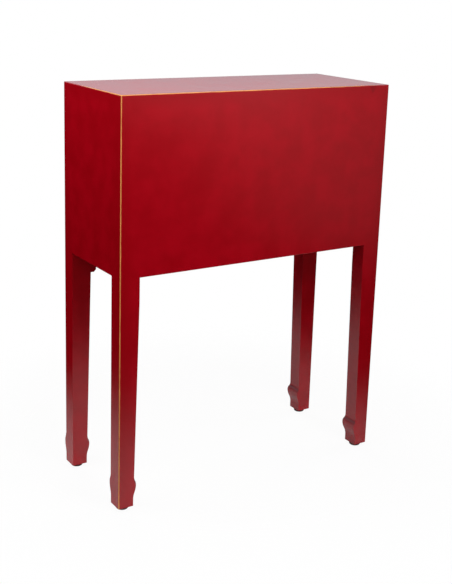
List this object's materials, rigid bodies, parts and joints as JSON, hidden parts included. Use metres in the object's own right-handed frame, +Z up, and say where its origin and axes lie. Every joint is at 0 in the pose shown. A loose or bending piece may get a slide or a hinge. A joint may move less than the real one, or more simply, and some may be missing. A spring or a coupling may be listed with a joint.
{
  "type": "wedding cabinet",
  "caption": "Slim lacquered side cabinet on square legs with hoof feet; drawers over a pair of doors with a round brass lock plate, plain flush back and sides.",
  "frame": {"origin": "on the floor, in the middle of the whole object's box", "axes": "+Z up, the front with the doors faces -Y, +X to the right as seen from the front"},
  "size_m": [0.635, 0.2664, 0.83],
  "materials": {
    "red_lacquer": "satin red lacquer over wood, rubbed through to a pale gold line on the near arrises",
    "bare_wood": "planed pale wood, thinly oiled",
    "brass": "aged brushed brass",
    "steel": "turned steel pin",
    "glide": "dark moulded plastic"
  },
  "bodies": {
    "carcass": {"left_front_leg": "red_lacquer", "right_front_leg": "red_lacquer", "left_back_leg": "red_lacquer", "right_back_leg": "red_lacquer", "left_side_panel": "red_lacquer", "right_side_panel": "red_lacquer", "back_panel": "red_lacquer", "top_board": "red_lacquer", "bottom_board": "bare_wood", "drawer_deck": "bare_wood", "top_rail": "red_lacquer", "middle_rail": "red_lacquer", "bottom_rail": "red_lacquer", "drawer_stile": "red_lacquer", "left_drawer_guide": "bare_wood", "right_drawer_guide": "bare_wood", "centre_drawer_guide": "bare_wood", "centre_kicker": "bare_wood", "door_stop": "bare_wood", "apron_board": "red_lacquer", "left_bracket": "red_lacquer", "right_bracket": "red_lacquer", "foot_glides": "glide"},
    "left_door": {"left_door_outer_stile": "red_lacquer", "left_door_meeting_stile": "red_lacquer", "left_door_top_rail": "red_lacquer", "left_door_bottom_rail": "red_lacquer", "left_door_panel": "red_lacquer", "left_pivot_pins": "steel", "left_lock_plate": "brass", "left_lock_staple": "brass", "left_door_pull_eye": "brass"},
    "left_door_ring": {"left_door_pull_ring": "brass"},
    "left_drawer": {"left_drawer_front": "red_lacquer", "left_drawer_inner_side": "bare_wood", "left_drawer_outer_side": "bare_wood", "left_drawer_bottom": "bare_wood", "left_drawer_back": "bare_wood", "left_drawer_rosette": "brass", "left_drawer_pull_eye": "brass"},
    "left_drawer_ring": {"left_drawer_pull_ring": "brass"},
    "right_door": {"right_door_outer_stile": "red_lacquer", "right_door_meeting_stile": "red_lacquer", "right_door_top_rail": "red_lacquer", "right_door_bottom_rail": "red_lacquer", "right_door_panel": "red_lacquer", "right_pivot_pins": "steel", "right_lock_plate": "brass", "right_lock_staple": "brass", "right_door_pull_eye": "brass"},
    "right_door_ring": {"right_door_pull_ring": "brass"},
    "right_drawer": {"right_drawer_front": "red_lacquer", "right_drawer_inner_side": "bare_wood", "right_drawer_outer_side": "bare_wood", "right_drawer_bottom": "bare_wood", "right_drawer_back": "bare_wood", "right_drawer_rosette": "brass", "right_drawer_pull_eye": "brass"},
    "right_drawer_ring": {"right_drawer_pull_ring": "brass"}
  },
  "joints": [
    {"name": "left_door_hinge", "type": "hinge", "parent": "carcass", "child": "left_door", "pos_m": [-0.2655, -0.10975, 0.502], "axis": [0, 0, -1], "range_deg": [0, 94]},
    {"name": "left_drawer_slide", "type": "slide", "parent": "carcass", "child": "left_drawer", "axis": [0, -1, 0], "range_m": [0, 0.16]},
    {"name": "left_door_ring_swing", "type": "hinge", "parent": "left_door", "child": "left_door_ring", "pos_m": [-0.029, -0.1253, 0.605], "axis": [-1, 0, 0], "range_deg": [0, 120]},
    {"name": "left_drawer_ring_swing", "type": "hinge", "parent": "left_drawer", "child": "left_drawer_ring", "pos_m": [-0.14275, -0.1262, 0.76], "axis": [-1, 0, 0], "range_deg": [0, 120]},
    {"name": "right_door_hinge", "type": "hinge", "parent": "carcass", "child": "right_door", "pos_m": [0.2655, -0.10975, 0.502], "axis": [0, 0, 1], "range_deg": [0, 94]},
    {"name": "right_drawer_slide", "type": "slide", "parent": "carcass", "child": "right_drawer", "axis": [0, -1, 0], "range_m": [0, 0.16]},
    {"name": "right_door_ring_swing", "type": "hinge", "parent": "right_door", "child": "right_door_ring", "pos_m": [0.029, -0.1253, 0.605], "axis": [-1, 0, 0], "range_deg": [0, 120]},
    {"name": "right_drawer_ring_swing", "type": "hinge", "parent": "right_drawer", "child": "right_drawer_ring", "pos_m": [0.14275, -0.1262, 0.76], "axis": [-1, 0, 0], "range_deg": [0, 120]}
  ]
}
